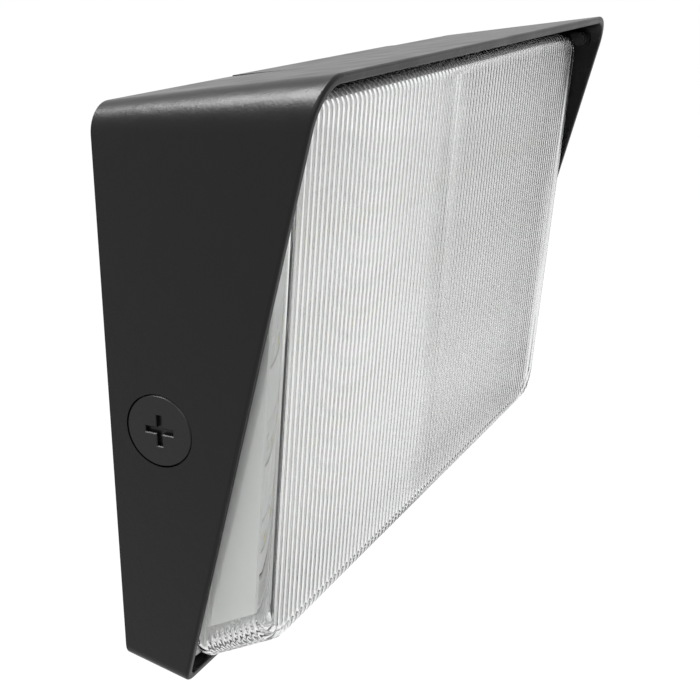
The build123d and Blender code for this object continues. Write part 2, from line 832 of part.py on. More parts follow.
for side, hand in ((-1, "left"), (1, "right")):
    outer_face = Plane.YZ.offset(side * half_width)
    with BuildPart() as conduit_plug:
        with BuildSketch(outer_face):
            with Locations((-conduit_depth, conduit_height)):
                Circle(plug_head_radius)
        extrude(amount=-side * plug_head_thickness)
        with BuildSketch(outer_face):
            with Locations((-conduit_depth, conduit_height)):
                Circle(plug_thread_radius)
        extrude(amount=-side * plug_length)
        with BuildSketch(Plane.YZ.offset(side * (half_width - plug_length))):
            with Locations((-conduit_depth, conduit_height)):
                Circle(plug_bore_radius)
        extrude(amount=side * (plug_length - plug_floor), mode=Mode.SUBTRACT)
        with BuildSketch(outer_face):
            with Locations((-conduit_depth, conduit_height)):
                Rectangle(plug_slot_length, plug_slot_width)
                Rectangle(plug_slot_width, plug_slot_length)
        extrude(amount=-side * plug_slot_depth, mode=Mode.SUBTRACT)
        head_face = conduit_plug.faces().sort_by(lambda face: side * face.center().X)[-1]
        chamfer(head_face.edges(), plug_chamfer)
    conduit_plug.part.label = "conduit_plug_" + hand
    export_step(conduit_plug.part, "parts/conduit_plug_" + hand + ".step")

    ring_face = half_width - plug_head_thickness - plug_ring_gap
    with BuildPart() as plug_ring:
        with BuildSketch(Plane.YZ.offset(side * ring_face)):
            with Locations((-conduit_depth, conduit_height)):
                Circle(plug_head_radius)
                Circle(plug_thread_radius + plug_ring_inset, mode=Mode.SUBTRACT)
        extrude(amount=-side * plug_ring_thickness)
    plug_ring.part.label = "plug_ring_" + hand
    export_step(plug_ring.part, "parts/plug_ring_" + hand + ".step")

# ---------------------------------------------------------------- wall gasket

with BuildPart() as foam_gasket:
    with BuildSketch(Plane.XZ):
        panel(
            half_width - foam_inset - sheet_gap,
            -half_height + foam_inset + sheet_gap,
            half_height - foam_inset - sheet_gap,
            foam_corner - sheet_gap,
        )
        panel(
            half_width - foam_inset - foam_width + sheet_gap,
            -half_height + foam_inset + foam_width - sheet_gap,
            half_height - foam_inset - foam_width + sheet_gap,
            foam_corner - foam_width + sheet_gap,
            mode=Mode.SUBTRACT,
        )
    extrude(amount=foam_depth - sheet_gap)
foam_gasket.part.label = "foam_gasket"
export_step(foam_gasket.part, "parts/foam_gasket.step")

# ---------------------------------------------------------------- light engine

connector_v = rows[-1]
hole_w = tray_face - connector_height + connector_hole_lift

with BuildPart() as light_tray:
    with BuildSketch(door_plane.offset(tray_back)):
        panel(tray_half, tray_bottom, tray_top, opening_corner)
        with Locations(*post_places):
            Circle(screw_radius + screw_clearance, mode=Mode.SUBTRACT)
        with Locations(*spacer_places):
            Circle(spacer_radius + spacer_hole_gap, mode=Mode.SUBTRACT)
        with Locations((connector_x, connector_v)):
            Rectangle(
                connector_length + 2 * connector_gap,
                connector_width + 2 * connector_gap,
                mode=Mode.SUBTRACT,
            )
    extrude(amount=tray_thickness)
light_tray.part.label = "light_tray"
export_step(light_tray.part, "parts/light_tray.step")

with BuildPart() as led_boards:
    with BuildSketch(door_plane.offset(tray_face + board_gap)):
        with Locations((0, row_middle)):
            with GridLocations(1, row_pitch, 1, row_count):
                Rectangle(board_length, board_width)
    extrude(amount=board_thickness)
led_boards.part.label = "led_boards"
export_step(led_boards.part, "parts/led_boards.step")

with BuildPart() as leds:
    with BuildSketch(door_plane.offset(board_face + led_gap)):
        with Locations((0, row_middle)):
            with GridLocations(led_pitch, row_pitch, led_count, row_count):
                Rectangle(led_size, led_size)
    extrude(amount=led_height)
leds.part.label = "leds"
export_step(leds.part, "parts/leds.step")

with BuildPart() as board_links:
    with BuildSketch(door_plane.offset(board_face + sheet_gap)):
        with Locations((link_x, row_middle)):
            with GridLocations(1, row_pitch, 1, row_count - 1):
                Rectangle(link_width, row_pitch - board_width + 2 * link_overlap)
    extrude(amount=link_thickness)
board_links.part.label = "board_links"
export_step(board_links.part, "parts/board_links.step")

with BuildPart() as board_connector:
    with BuildSketch(door_plane.offset(tray_face)):
        with Locations((connector_x, connector_v)):
            Rectangle(connector_length, connector_width)
    extrude(amount=-connector_height)
    for step in (-0.5, 0.5):
        with BuildSketch(Plane.YZ.offset(connector_x - connector_length / 2)):
            with Locations(door_point(connector_v + step * output_pitch, hole_w)):
                Circle(lead_radius + lead_hole_gap)
        extrude(amount=lead_grip + lead_hole_gap, mode=Mode.SUBTRACT)
board_connector.part.label = "board_connector"
export_step(board_connector.part, "parts/board_connector.step")

sheet_line = [(reflector_bottom, flat_face)]
for row in rows:
    sheet_line.append((row - reflector_flat / 2, flat_face))
    sheet_line.append((row + reflector_flat / 2, flat_face))
    sheet_line.append((row + row_pitch / 2, flat_face + reflector_ridge))
sheet_line.append((rows[-1] + row_pitch - reflector_flat / 2, flat_face))
sheet_line.append((reflector_top, flat_face))
sheet_back = [(along, forward - reflector_sheet) for along, forward in reversed(sheet_line)]

with BuildPart() as reflector:
    with BuildSketch(section_plane):
        Polygon(*sheet_line, *sheet_back, align=None)
    extrude(amount=opening_half, both=True)
    with BuildSketch(door_plane.offset(flat_back)):
        panel(reflector_half, reflector_bottom, reflector_top, opening_corner)
    extrude(amount=reflector_ridge + reflector_sheet, mode=Mode.INTERSECT)
    with BuildSketch(door_plane.offset(flat_face)):
        with Locations((0, row_middle)):
            with GridLocations(1, row_pitch, 1, row_count):
                Rectangle(led_count * led_pitch - led_size, window_width)
        with Locations(*spacer_places):
            Circle(spacer_radius + spacer_hole_gap)
    extrude(amount=-reflector_sheet, mode=Mode.SUBTRACT)
reflector.part.label = "reflector"
export_step(reflector.part, "parts/reflector.step")

with BuildPart() as reflector_spacers:
    with BuildSketch(door_plane.offset(flat_face + sheet_gap)):
        with Locations(*spacer_places):
            Circle(spacer_head_radius)
    extrude(amount=spacer_head)
    with BuildSketch(door_plane.offset(flat_face + sheet_gap)):
        with Locations(*spacer_places):
            Circle(spacer_radius)
    extrude(amount=tray_back - flat_face - 2 * sheet_gap)
    with BuildSketch(door_plane.offset(flat_back - sheet_gap)):
        with Locations(*spacer_places):
            Circle(spacer_shoulder_radius)
    extrude(amount=tray_face - flat_back + 2 * sheet_gap)
    with BuildSketch(door_plane.offset(tray_back - sheet_gap)):
        with Locations(*spacer_places):
            Circle(spacer_shoulder_radius)
    extrude(amount=-spacer_head)
reflector_spacers.part.label = "reflector_spacers"
export_step(reflector_spacers.part, "parts/reflector_spacers.step")

# ---------------------------------------------------------------- driver

mains_places = [(-lead_spread, -lead_depth), (lead_spread, -lead_depth)]
output_places = [
    (-output_depth, driver_centre_z - output_pitch / 2),
    (-output_depth, driver_centre_z + output_pitch / 2),
]

with BuildPart() as driver_base:
    with BuildSketch(Plane.XZ.offset(driver_base_back)):
        with Locations((0, driver_centre_z)):
            Rectangle(driver_length + 2 * driver_flange, driver_height)
        with Locations((-driver_screw_x, driver_centre_z), (driver_screw_x, driver_centre_z)):
            Circle(screw_radius + screw_clearance, mode=Mode.SUBTRACT)
    extrude(amount=driver_sheet)
driver_base.part.label = "driver_base"
export_step(driver_base.part, "parts/driver_base.step")

with BuildPart() as driver_case:
    with BuildSketch(Plane.XZ.offset(driver_case_back)):
        with Locations((0, driver_centre_z)):
            Rectangle(driver_length, driver_height)
    extrude(amount=driver_case_face - driver_case_back)
    fillet(driver_case.faces().sort_by(Axis.Y)[0].edges(), driver_corner)
    with BuildSketch(Plane.XZ.offset(driver_case_back)):
        with Locations((0, driver_centre_z)):
            Rectangle(driver_length - 2 * driver_sheet, driver_height - 2 * driver_sheet)
    extrude(amount=driver_case_face - driver_case_back - driver_sheet, mode=Mode.SUBTRACT)
    with BuildSketch(Plane.XY.offset(driver_low)):
        with Locations(*mains_places):
            Circle(lead_radius + lead_hole_gap)
    extrude(amount=driver_sheet, mode=Mode.SUBTRACT)
    with BuildSketch(Plane.YZ.offset(driver_length / 2)):
        with Locations(*output_places):
            Circle(lead_radius + lead_hole_gap)
    extrude(amount=-driver_sheet, mode=Mode.SUBTRACT)
driver_case.part.label = "driver_case"
export_step(driver_case.part, "parts/driver_case.step")

with BuildPart() as driver_potting:
    with BuildSketch(Plane.XZ.offset(driver_case_back)):
        with Locations((0, driver_centre_z)):
            Rectangle(
                driver_length - 2 * driver_sheet - 2 * part_gap,
                driver_height - 2 * driver_sheet - 2 * part_gap,
            )
    extrude(amount=driver_case_face - driver_case_back - driver_sheet - part_gap)
driver_potting.part.label = "driver_potting"
export_step(driver_potting.part, "parts/driver_potting.step")

# ---------------------------------------------------------------- terminal block and ground

pole_places = [
    (terminal_pitch * (i - (terminal_poles - 1) / 2), terminal_z)
    for i in range(terminal_poles)
]
lug_back = standoff_end + part_gap

with BuildPart() as terminal_block:
    with BuildSketch(Plane.XZ.offset(terminal_back)):
        with Locations((0, terminal_z)):
            Rectangle(terminal_length, terminal_height)
    extrude(amount=terminal_thickness)
    with BuildSketch(Plane.XZ.offset(lug_back)):
        with Locations((0, terminal_z)):
            Rectangle(terminal_length + 2 * terminal_lug, terminal_lug_height)
    extrude(amount=terminal_lug_thickness)
    with BuildSketch(Plane.XZ.offset(lug_back)):
        with Locations((-terminal_screw_x, terminal_z), (terminal_screw_x, terminal_z)):
            Circle(screw_radius + screw_clearance)
    extrude(amount=terminal_lug_thickness, mode=Mode.SUBTRACT)
    with BuildSketch(Plane.XZ.offset(terminal_face)):
        with Locations(*pole_places):
            Circle(pole_screw_radius + lead_hole_gap)
    extrude(amount=-(pole_screw_sink + pole_screw_length), mode=Mode.SUBTRACT)
    with BuildSketch(Plane.XY.offset(terminal_bottom)):
        with Locations(*[(x, -lead_depth) for x, _ in pole_places]):
            Circle(lead_radius + lead_hole_gap)
    extrude(amount=lead_grip + lead_hole_gap, mode=Mode.SUBTRACT)
    with BuildSketch(Plane.XY.offset(terminal_top)):
        with Locations(*[(x, -lead_depth) for x, _ in pole_places]):
            Circle(lead_radius + lead_hole_gap)
    extrude(amount=-(lead_grip + lead_hole_gap), mode=Mode.SUBTRACT)
terminal_block.part.label = "terminal_block"
export_step(terminal_block.part, "parts/terminal_block.step")

with BuildPart() as pole_screws:
    with BuildSketch(Plane.XZ.offset(terminal_face - pole_screw_sink)):
        with Locations(*pole_places):
            Circle(pole_screw_radius)
    extrude(amount=-(pole_screw_length - lead_hole_gap))
    with BuildSketch(Plane.XZ.offset(terminal_face - pole_screw_sink)):
        with Locations(*pole_places):
            Rectangle(2 * pole_screw_radius, pole_slot)
    extrude(amount=-pole_slot, mode=Mode.SUBTRACT)
pole_screws.part.label = "pole_screws"
export_step(pole_screws.part, "parts/pole_screws.step")

ring_back = back_wall + ground_boss_height + sheet_gap
ring_face = ring_back + ring_terminal_thickness

with BuildPart() as ground_screw:
    with BuildSketch(Plane.XZ.offset(ring_face + sheet_gap)):
        with Locations((ground_x, ground_z)):
            Circle(ground_head_radius)
            Rectangle(2 * ground_head_radius, pole_slot, mode=Mode.SUBTRACT)
    extrude(amount=ground_head_height)
    with BuildSketch(Plane.XZ.offset(ring_face + sheet_gap)):
        with Locations((ground_x, ground_z)):
            Circle(ground_head_radius)
    extrude(amount=ground_head_height / 2)
    with BuildSketch(Plane.XZ.offset(ring_face + sheet_gap)):
        with Locations((ground_x, ground_z)):
            Circle(ground_screw_radius)
    extrude(amount=-ground_screw_length)
ground_screw.part.label = "ground_screw"
export_step(ground_screw.part, "parts/ground_screw.step")

crimp_top = ground_z - ring_terminal_tab
crimp_depth = ring_back + crimp_radius

with BuildPart() as ring_terminal:
    with BuildSketch(Plane.XZ.offset(ring_back)):
        with Locations((ground_x, ground_z)):
            Circle(ring_terminal_radius)
            Rectangle(2 * crimp_radius, ring_terminal_tab, align=(Align.CENTER, Align.MAX))
            Circle(ground_screw_radius + screw_clearance, mode=Mode.SUBTRACT)
    extrude(amount=ring_terminal_thickness)
    with BuildSketch(Plane.XY.offset(crimp_top)):
        with Locations((ground_x, -crimp_depth)):
            Circle(crimp_radius)
    extrude(amount=-crimp_length)
    with BuildSketch(Plane.XY.offset(crimp_top - crimp_length)):
        with Locations((ground_x, -crimp_depth)):
            Circle(lead_radius + thread_gap)
    extrude(amount=crimp_length - ring_terminal_thickness, mode=Mode.SUBTRACT)
ring_terminal.part.label = "ring_terminal"
export_step(ring_terminal.part, "parts/ring_terminal.step")

# ---------------------------------------------------------------- screws and leads

with BuildPart() as machine_screws:
    for x, along in post_places:
        add(machine_screw(place_on(door_plane.offset(tray_face + screw_seat_gap), x, along)))
    for x, z in standoff_places[:2]:
        add(machine_screw(place_on(Plane.XZ.offset(driver_base_face + screw_seat_gap), x, z)))
    for x, z in standoff_places[2:]:
        seat_depth = lug_back + terminal_lug_thickness + screw_seat_gap
        add(machine_screw(place_on(Plane.XZ.offset(seat_depth), x, z)))
machine_screws.part.label = "machine_screws"
export_step(machine_screws.part, "parts/machine_screws.step")

bend_low = terminal_top + lead_straight
bend_high = driver_low - lead_straight
for side, name in ((-1, "lead_line"), (1, "lead_neutral")):
    mains = lead([
        (side * terminal_pitch, -lead_depth, terminal_top - lead_grip),
        (side * terminal_pitch, -lead_depth, bend_low),
        (side * lead_spread, -lead_depth, bend_high),
        (side * lead_spread, -lead_depth, driver_low + driver_sheet),
    ])
    mains.label = name
    export_step(mains, "parts/" + name + ".step")

lead_ground = lead([
    (ground_x, -crimp_depth, crimp_top - crimp_length / 2),
    (ground_x, -crimp_depth, lead_loop_z - lead_bend),
    (terminal_pitch, -lead_depth, lead_loop_z - lead_bend),
    (terminal_pitch, -lead_depth, terminal_bottom + lead_grip),
])
lead_ground.label = "lead_ground"
export_step(lead_ground, "parts/lead_ground.step")

output_start = driver_length / 2 - driver_sheet
output_turn = driver_length / 2 + output_reach
output_end = connector_x - connector_length / 2
for step, name in ((-0.5, "lead_negative"), (0.5, "lead_positive")):
    exit_z = driver_centre_z + step * output_pitch
    plug_y, plug_z = door_point(connector_v + step * output_pitch, hole_w)
    output = lead([
        (output_start, -output_depth, exit_z),
        (output_turn, -output_depth, exit_z),
        (output_end - connector_lead_in, plug_y, plug_z),
        (output_end + lead_grip, plug_y, plug_z),
    ])
    output.label = name
    export_step(output, "parts/" + name + ".step")
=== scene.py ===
"""Wall pack light: materials, the prismatic lens, and the photograph's camera and light."""

import math

import bpy
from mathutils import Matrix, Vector


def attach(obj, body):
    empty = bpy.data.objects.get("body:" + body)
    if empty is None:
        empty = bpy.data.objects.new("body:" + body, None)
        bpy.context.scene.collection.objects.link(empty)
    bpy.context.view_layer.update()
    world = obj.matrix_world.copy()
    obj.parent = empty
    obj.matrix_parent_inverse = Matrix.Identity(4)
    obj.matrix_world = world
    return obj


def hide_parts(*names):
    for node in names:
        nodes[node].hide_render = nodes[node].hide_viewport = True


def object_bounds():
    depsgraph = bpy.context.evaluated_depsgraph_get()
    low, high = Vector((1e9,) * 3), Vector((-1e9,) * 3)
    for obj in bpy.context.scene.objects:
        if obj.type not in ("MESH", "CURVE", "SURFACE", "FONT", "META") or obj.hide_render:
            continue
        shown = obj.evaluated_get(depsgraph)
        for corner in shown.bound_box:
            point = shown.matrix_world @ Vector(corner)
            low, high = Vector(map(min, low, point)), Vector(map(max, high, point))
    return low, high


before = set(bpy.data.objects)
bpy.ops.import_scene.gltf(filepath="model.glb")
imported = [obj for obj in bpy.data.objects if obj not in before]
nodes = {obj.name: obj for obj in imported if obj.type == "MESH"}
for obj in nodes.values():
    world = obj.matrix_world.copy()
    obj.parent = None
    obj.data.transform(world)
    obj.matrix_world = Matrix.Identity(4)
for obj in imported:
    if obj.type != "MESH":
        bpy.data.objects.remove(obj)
cad_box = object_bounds()
MM = 0.001

# ---------------------------------------------------------------- sizes of the lens, in mm
# They repeat the CAD source's lens. The flutes and the prisms are drawn only here.

door_depth = 38.0
door_tilt = math.radians(9.5)
front_depth = 57.9
front_tilt = math.radians(4.6)
lens_corner = 15.0
lens_edge = 5.5
lens_wall = 2.8
inner_edge = 2.7
# Half-width, lowest and highest point of the rim, the step and the front
rim_outline = (141.0, -96.5, 99.8)
step_outline = (140.8, -96.3, 100.9)
front_outline = (138.7, -83.2, 100.9)
step_reach = 4.0

flute_pitch = 3.2
flute_depth = 0.36
flute_half = 131.0              # the flutes fade out beyond this half-width
flute_fade = 2.5
prism_count = 10
prism_depth = 0.9

straight_flutes = 77
parts_per_flute = 6
straight_parts = parts_per_flute * straight_flutes   # columns across the straight stretch
corner_parts = 24
side_parts = 12
inner_share = 3                 # the inside has one column for each three outside
outer_wall_rows = 6
outer_edge_rows = 9
inner_wall_rows = 6 * prism_count
inner_edge_rows = 5


def door_point(x, along, forward):
    """A point given on the door plane, or forward of it."""
    return Vector((
        x,
        -door_depth - along * math.sin(door_tilt) - forward * math.cos(door_tilt),
        along * math.cos(door_tilt) - forward * math.sin(door_tilt),
    ))


def front_point(x, along, inset):
    """A point given on the front plane, or behind it."""
    return Vector((
        x,
        -front_depth - along * math.sin(front_tilt) + inset * math.cos(front_tilt),
        along * math.cos(front_tilt) + inset * math.sin(front_tilt),
    ))


def quarter(turn):
    """The corner's angles from upright to level, without the level one."""
    return [math.pi / 2 * k / turn for k in range(turn, 0, -1)]


def loop_of(outline, inset, parts):
    """A rounded outline as (x, along, inward x, inward along), anticlockwise from the left."""
    half, low, high = outline[0] - inset, outline[1] + inset, outline[2] - inset
    radius = lens_corner - inset
    straight, turn, side = parts
    flat = half - radius
    columns = [(-flat - radius * math.sin(a), a) for a in quarter(turn)]
    columns += [(-flat + 2 * flat * k / straight, 0.0) for k in range(straight + 1)]
    columns += [(flat + radius * math.sin(a), a) for a in reversed(quarter(turn))]
    lower, upper = [], []
    for x, angle in columns:
        rise = radius * (1 - math.cos(angle))
        inward = -math.copysign(math.sin(angle), x)
        lower.append((x, low + rise, inward, math.cos(angle)))
        upper.append((x, high - rise, inward, -math.cos(angle)))
    right, left = [], []
    for k in range(1, side):
        along = low + radius + (high - low - 2 * radius) * k / side
        right.append((half, along, -1.0, 0.0))
        left.append((-half, along, 1.0, 0.0))
    return lower + right + upper[::-1] + left[::-1]


def flute(x):
    """Height of the rounded flutes at this distance from the middle."""
    place = x / flute_pitch
    across = 2 * (place - math.floor(place)) - 1
    fade = min(1.0, max(0.0, (flute_half - abs(x)) / flute_fade + 1.0))
    return flute_depth * (1 - across * across) * fade


def prism(share):
    """Height of the ridges on the inside of the bottom, from the rim to the front."""
    place = share * prism_count
    across = place - math.floor(place)
    return prism_depth * (1 - abs(2 * across - 1))


def arc(corner_point, wall_end, inward, radius, steps):
    """Points and outward directions of a rounded edge between a wall and the front."""
    to_wall = (wall_end - corner_point).normalized()
    half_angle = to_wall.angle(inward) / 2
    reach = radius / math.tan(half_angle)
    centre = corner_point + (to_wall + inward).normalized() * radius / math.sin(half_angle)
    first = (corner_point + to_wall * reach - centre).normalized()
    last = (corner_point + inward * reach - centre).normalized()
    points = []
    for k in range(steps + 1):
        out = first.slerp(last, k / steps)
        points.append((centre + out * radius, out))
    return points


def skin(inset, edge, parts, wall_steps, edge_steps, relief):
    """One skin of the lens: rows of points from the rim to the front face's outline."""
    rims = loop_of(rim_outline, inset, parts)
    steps = loop_of(step_outline, inset, parts)
    fronts = loop_of(front_outline, inset, parts)
    rows = [[] for _ in range(wall_steps + edge_steps + 2)]
    for rim, step, front in zip(rims, steps, fronts):
        start = door_point(rim[0], rim[1], 0.0)
        kink = door_point(step[0], step[1], step_reach)
        tip = front_point(front[0], front[1], inset)
        inward = (front_point(front[2], front[3], 0) - front_point(0, 0, 0)).normalized()
        rounding = arc(tip, kink, inward, edge, edge_steps)
        outward = rounding[0][1]
        x = rounding[-1][0].x
        rows[0].append((start, outward, x, 0.0, rim[3]))
        for k in range(wall_steps):
            share = k / wall_steps
            point = kink.lerp(rounding[0][0], share)
            rows[k + 1].append((point, outward, x, share, rim[3]))
        for k, (point, out) in enumerate(rounding):
            rows[wall_steps + 1 + k].append((point, out, x, 1.0, rim[3]))
    return [[relief(*place, level=n) for place in row] for n, row in enumerate(rows)]


def outer_relief(point, out, x, share, rise, level):
    """The point raised by the flutes, except on the rim."""
    return point + out * (flute(x) if level else 0.0)


def inner_relief(point, out, x, share, rise, level):
    """The point moved inwards by the prisms, which lie along the bottom only."""
    ridge = prism(share) * max(0.0, rise) if level else 0.0
    return point - out * ridge


def lens_mesh():
    """The lens: a fluted outside, a smooth inside with prisms along the bottom."""
    outer_parts = (straight_parts, corner_parts, side_parts)
    inner_parts = tuple(part // inner_share for part in outer_parts)
    outer = skin(0.0, lens_edge, outer_parts, outer_wall_rows, outer_edge_rows, outer_relief)
    inner = skin(lens_wall, inner_edge, inner_parts, inner_wall_rows, inner_edge_rows, inner_relief)
    verts, faces = [], []
    facing = front_point(0, 0, -1) - front_point(0, 0, 0)

    def put(points):
        verts.extend(points)
        return list(range(len(verts) - len(points), len(verts)))

    def band(lower, upper, flip):
        count = len(lower)
        for i in range(count):
            j = (i + 1) % count
            quad = (lower[i], lower[j], upper[j], upper[i])
            faces.append(quad[::-1] if flip else quad)

    def bare(index, relief):
        point = verts[index]
        return point - facing * flute(point.x) if relief else point

    def lift(point, relief):
        return point + facing * flute(point.x) if relief else point

    def cover(ring, parts, relief, flip):
        """The front face, in columns from the ring's lower side to its upper side."""
        straight, turn, side = parts
        width = straight + 2 * turn + 1
        lower = ring[:width]
        right = ring[width:width + side - 1]
        upper = ring[width + side - 1:2 * width + side - 1][::-1]
        left = ring[2 * width + side - 1:][::-1]
        grid = []
        for i in range(width):
            if i == 0:
                middle = left
            elif i == width - 1:
                middle = right
            else:
                low, high = bare(lower[i], relief), bare(upper[i], relief)
                middle = put([
                    lift(low.lerp(high, k / side), relief) for k in range(1, side)
                ])
            grid.append([lower[i], *middle, upper[i]])
        for a, b in zip(grid, grid[1:]):
            for k in range(side):
                quad = (a[k], b[k], b[k + 1], a[k + 1])
                faces.append(quad[::-1] if flip else quad)

    outer_rings = [put(row) for row in outer]
    inner_rings = [put(row) for row in inner]
    for a, b in zip(outer_rings, outer_rings[1:]):
        band(a, b, False)
    for a, b in zip(inner_rings, inner_rings[1:]):
        band(a, b, True)
    cover(outer_rings[-1], outer_parts, True, False)
    cover(inner_rings[-1], inner_parts, False, True)
    rim_outer, rim_inner = outer_rings[0], inner_rings[0]
    count = len(rim_inner)
    for i in range(count):
        span = [rim_outer[(i * inner_share + k) % len(rim_outer)] for k in range(inner_share + 1)]
        faces.append([rim_inner[i], rim_inner[(i + 1) % count], *reversed(span)])
    mesh = bpy.data.meshes.new("prismatic_lens")
    mesh.from_pydata([point * MM for point in verts], [], faces)
    mesh.validate()
    mesh.update()
    return mesh


def build_lens():
    """The lens as one smooth object, in place of the plain one, riding with the door."""
    lens = bpy.data.objects.new("prismatic_lens", lens_mesh())
    bpy.context.scene.collection.objects.link(lens)
    for polygon in lens.data.polygons:
        polygon.use_smooth = True
    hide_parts("lens")
    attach(lens, "door")
    return lens


# ---------------------------------------------------------------- materials

def socket_names(shader):
    return {socket.name: socket for socket in shader.inputs}


def new_material(name, colour, roughness, **constants):
    """A Principled material; the other named constants go straight onto its sockets."""
    material = bpy.data.materials.new(name)
    material.use_nodes = True
    shader = material.node_tree.nodes["Principled BSDF"]
    sockets = socket_names(shader)
    sockets["Base Color"].default_value = (*colour, 1.0)
    sockets["Roughness"].default_value = roughness
    for key, value in constants.items():
        sockets[key.replace("_", " ")].default_value = value
    return material


def add_node(material, kind, **values):
    node = material.node_tree.nodes.new(kind)
    for key, value in values.items():
        node.inputs[key].default_value = value
    return node


def place_texture(material, stretch=(1.0, 1.0, 1.0)):
    """The piece's own coordinates, stretched for brushed or drawn surfaces."""
    coordinates = material.node_tree.nodes.new("ShaderNodeTexCoord")
    mapping = add_node(material, "ShaderNodeMapping", Scale=stretch)
    material.node_tree.links.new(coordinates.outputs["Object"], mapping.inputs["Vector"])
    return mapping.outputs["Vector"]


def add_noise(material, scale, detail=3.0, stretch=(1.0, 1.0, 1.0)):
    noise = add_node(material, "ShaderNodeTexNoise", Scale=scale, Detail=detail)
    material.node_tree.links.new(place_texture(material, stretch), noise.inputs["Vector"])
    return noise.outputs["Fac"]


def spread(material, source, low, high):
    """The noise mapped from its middle range to low...high."""
    links = material.node_tree.links
    ranged = add_node(material, "ShaderNodeMapRange")
    for key, value in (("From Min", 0.3), ("From Max", 0.7), ("To Min", low), ("To Max", high)):
        ranged.inputs[key].default_value = value
    links.new(source, ranged.inputs["Value"])
    return ranged.outputs["Result"]


def vary_roughness(material, source, low, high):
    shader = material.node_tree.nodes["Principled BSDF"]
    material.node_tree.links.new(spread(material, source, low, high), shader.inputs["Roughness"])


def vary_colour(material, source, dark, light):
    links = material.node_tree.links
    mix = material.node_tree.nodes.new("ShaderNodeMix")
    mix.data_type = "RGBA"
    factor, colour_a, colour_b, result = 0, 6, 7, 2    # the colour mix's socket numbers
    mix.inputs[colour_a].default_value = (*dark, 1.0)
    mix.inputs[colour_b].default_value = (*light, 1.0)
    links.new(spread(material, source, 0.0, 1.0), mix.inputs[factor])
    shader = material.node_tree.nodes["Principled BSDF"]
    links.new(mix.outputs[result], shader.inputs["Base Color"])


def add_relief(material, *layers):
    """Fine relief from (height source, distance in metres) layers, one on the other."""
    links = material.node_tree.links
    below = None
    for source, distance in layers:
        bump = add_node(material, "ShaderNodeBump", Strength=1.0, Distance=distance)
        links.new(source, bump.inputs["Height"])
        if below:
            links.new(below, bump.inputs["Normal"])
        below = bump.outputs["Normal"]
    links.new(below, material.node_tree.nodes["Principled BSDF"].inputs["Normal"])


def powder_coat(name, colour, roughness, specular):
    """Baked powder: a fine orange peel over a longer, fainter waviness."""
    material = new_material(name, colour, roughness, Specular_IOR_Level=specular)
    peel = add_noise(material, 1100.0, 2.0)
    wave = add_noise(material, 160.0, 2.0)
    add_relief(material, (wave, 0.00009), (peel, 0.00004))
    vary_roughness(material, add_noise(material, 60.0), roughness - 0.04, roughness + 0.04)
    return material


def plated_metal(name, colour, roughness, stretch=(1.0, 1.0, 1.0), scale=420.0):
    """Metal with drawn or rolled streaks where stretch isn't even."""
    material = new_material(name, colour, roughness, Metallic=1.0)
    streaks = add_noise(material, scale, 4.0, stretch)
    add_relief(material, (streaks, 0.00003))
    vary_roughness(material, streaks, roughness - 0.08, roughness + 0.08)
    patches = add_noise(material, 45.0, 3.0)
    vary_colour(material, patches, [0.9 * value for value in colour], colour)
    return material


def moulded(name, colour, roughness, grain=700.0, depth=0.00002, **constants):
    """Moulded plastic or rubber with a faint skin texture."""
    material = new_material(name, colour, roughness, **constants)
    skin_noise = add_noise(material, grain, 2.0)
    add_relief(material, (skin_noise, depth))
    vary_roughness(material, add_noise(material, 80.0), roughness - 0.05, roughness + 0.05)
    return material


def foam(name, colour):
    """Closed-cell foam: small round cells."""
    material = new_material(name, colour, 0.9)
    cells = add_node(material, "ShaderNodeTexVoronoi", Scale=900.0)
    material.node_tree.links.new(place_texture(material), cells.inputs["Vector"])
    add_relief(material, (cells.outputs["Distance"], 0.0002))
    vary_colour(material, add_noise(material, 120.0), [0.7 * value for value in colour], colour)
    return material


def clear_plastic(name):
    """Clear polycarbonate that lets the lamps light what is behind it."""
    material = new_material(
        name, (0.85, 0.86, 0.855), 0.03, Transmission_Weight=1.0, IOR=1.58,
    )
    tree = material.node_tree
    through = tree.nodes.new("ShaderNodeBsdfTransparent")
    through.inputs["Color"].default_value = (0.9, 0.91, 0.905, 1.0)
    path = tree.nodes.new("ShaderNodeLightPath")
    mix = tree.nodes.new("ShaderNodeMixShader")
    output = tree.nodes["Material Output"]
    tree.links.new(path.outputs["Is Shadow Ray"], mix.inputs["Fac"])
    tree.links.new(tree.nodes["Principled BSDF"].outputs["BSDF"], mix.inputs[1])
    tree.links.new(through.outputs["BSDF"], mix.inputs[2])
    tree.links.new(mix.outputs["Shader"], output.inputs["Surface"])
    return material


def plain_name(material):
    """The name without the number that Blender adds to a name in use."""
    return material.name.split(".")[0]


